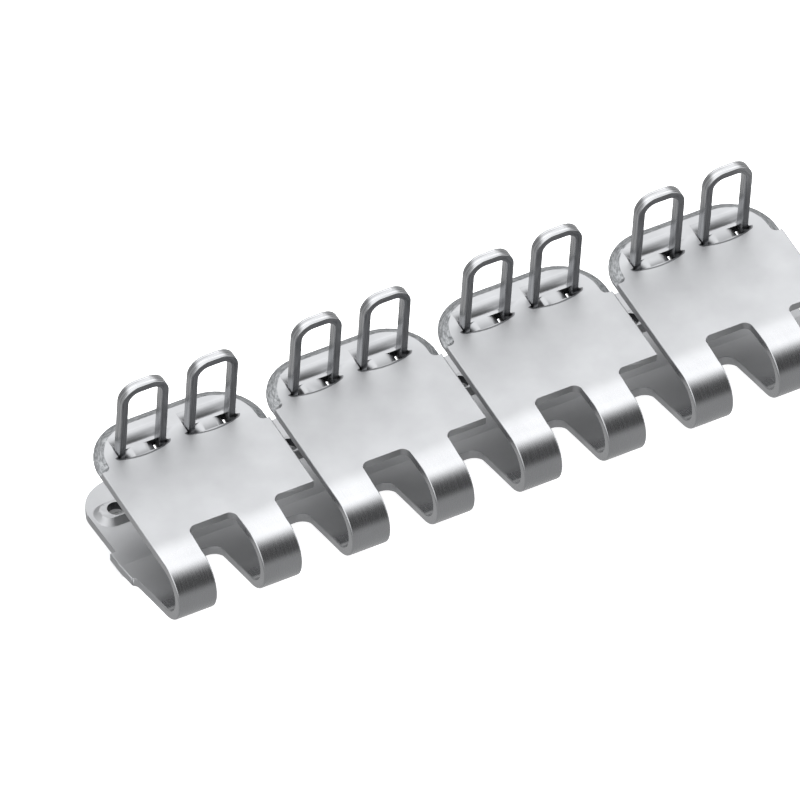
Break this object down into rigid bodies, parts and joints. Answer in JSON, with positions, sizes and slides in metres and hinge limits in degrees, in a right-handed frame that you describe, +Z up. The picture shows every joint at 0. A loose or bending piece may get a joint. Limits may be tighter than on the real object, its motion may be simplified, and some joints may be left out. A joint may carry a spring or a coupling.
{
  "type": "belt fastener strip",
  "caption": "Row of folded steel belt fasteners joined by narrow webs, with open hinge loops at the front and staples standing ready to be driven through a belt's end.",
  "frame": {"origin": "under the middle of the strip's overall box, on the surface that it rests on", "axes": "+X along the strip, +Y from the hinge loops to the open mouth, +Z up"},
  "size_m": [0.1016, 0.0312, 0.0254],
  "materials": {
    "plate_steel": "satin, lightly tumbled stamped sheet",
    "staple_wire": "satin drawn wire"
  },
  "bodies": {
    "strip": {"fastener_strip": "plate_steel"},
    "staple_1_left": {"staple_1_left": "staple_wire"},
    "staple_1_right": {"staple_1_right": "staple_wire"},
    "staple_2_left": {"staple_2_left": "staple_wire"},
    "staple_2_right": {"staple_2_right": "staple_wire"},
    "staple_3_left": {"staple_3_left": "staple_wire"},
    "staple_3_right": {"staple_3_right": "staple_wire"},
    "staple_4_left": {"staple_4_left": "staple_wire"},
    "staple_4_right": {"staple_4_right": "staple_wire"}
  },
  "joints": [
    {"name": "staple_1_left_drive", "type": "slide", "parent": "strip", "child": "staple_1_left", "axis": [0, 0.1184, -0.993], "range_m": [0, 0.01215]},
    {"name": "staple_1_right_drive", "type": "slide", "parent": "strip", "child": "staple_1_right", "axis": [0, 0.1184, -0.993], "range_m": [0, 0.01215]},
    {"name": "staple_2_left_drive", "type": "slide", "parent": "strip", "child": "staple_2_left", "axis": [0, 0.1184, -0.993], "range_m": [0, 0.01215]},
    {"name": "staple_2_right_drive", "type": "slide", "parent": "strip", "child": "staple_2_right", "axis": [0, 0.1184, -0.993], "range_m": [0, 0.01215]},
    {"name": "staple_3_left_drive", "type": "slide", "parent": "strip", "child": "staple_3_left", "axis": [0, 0.1184, -0.993], "range_m": [0, 0.01215]},
    {"name": "staple_3_right_drive", "type": "slide", "parent": "strip", "child": "staple_3_right", "axis": [0, 0.1184, -0.993], "range_m": [0, 0.01215]},
    {"name": "staple_4_left_drive", "type": "slide", "parent": "strip", "child": "staple_4_left", "axis": [0, 0.1184, -0.993], "range_m": [0, 0.01215]},
    {"name": "staple_4_right_drive", "type": "slide", "parent": "strip", "child": "staple_4_right", "axis": [0, 0.1184, -0.993], "range_m": [0, 0.01215]}
  ]
}
